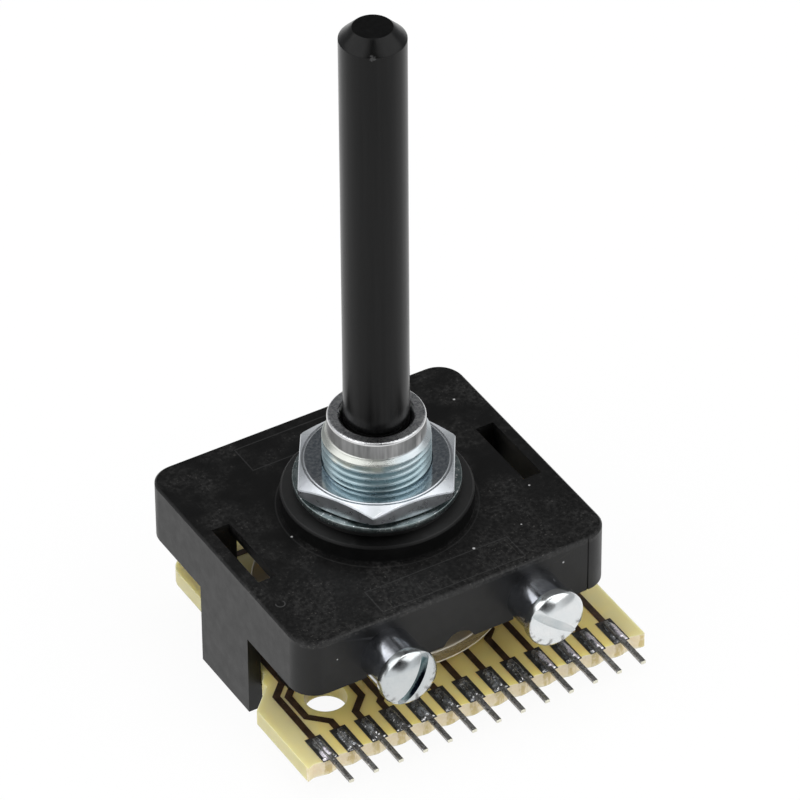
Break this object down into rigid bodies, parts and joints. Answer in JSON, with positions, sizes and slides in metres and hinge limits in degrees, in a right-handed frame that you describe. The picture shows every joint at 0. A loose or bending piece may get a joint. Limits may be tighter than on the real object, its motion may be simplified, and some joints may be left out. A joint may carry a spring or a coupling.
{
  "type": "rotary switch",
  "caption": "Panel-mounting rotary switch with a threaded bush, a long spindle, side legs that carry a printed wafer, and a row of 13 terminals.",
  "frame": {"origin": "on the spindle's axis, at the face of the housing that meets the panel", "axes": "+Z along the spindle, X along the row of terminals, -Y the way the terminals point"},
  "size_m": [0.0354, 0.0354, 0.0673],
  "materials": {
    "housing_plastic": "moulded, fine grain",
    "spindle_plastic": "semi-gloss",
    "wheel_plastic": "moulded",
    "clear_plastic": "clear, smoky",
    "zinc_plate": "bright zinc",
    "nut_plate": "bright zinc",
    "stud_steel": "turned, zinc plated",
    "screw_steel": "zinc plated",
    "spring_steel": "bright",
    "contact_bronze": "silver-faced bronze",
    "laminate": "resin laminate",
    "copper": "dark under lacquer",
    "solder": "tin-lead",
    "pin_plate": "tinned"
  },
  "bodies": {
    "body": {"housing": "housing_plastic", "bush": "zinc_plate", "mounting_nut": "nut_plate", "washer": "nut_plate", "stud_left": "stud_steel", "stud_right": "stud_steel", "screw_left": "screw_steel", "screw_right": "screw_steel", "index_spring_front": "spring_steel", "index_spring_rear": "spring_steel", "circuit_board": "laminate", "copper_tracks": "copper", "solder_joints": "solder", "pin_01": "pin_plate", "pin_02": "pin_plate", "pin_03": "pin_plate", "pin_04": "pin_plate", "pin_05": "pin_plate", "pin_06": "pin_plate", "pin_07": "pin_plate", "pin_08": "pin_plate", "pin_09": "pin_plate", "pin_10": "pin_plate", "pin_11": "pin_plate", "pin_12": "pin_plate", "pin_13": "pin_plate"},
    "turning": {"spindle": "spindle_plastic", "index_wheel": "wheel_plastic", "rotor": "clear_plastic", "rotor_contact": "contact_bronze"}
  },
  "joints": [
    {"name": "spindle_turn", "type": "hinge", "parent": "body", "child": "turning", "pos_m": [0, 0, 0], "axis": [0, 0, 1], "range_deg": [-330, 0], "deforming": ["index_spring_front", "index_spring_rear"]}
  ]
}
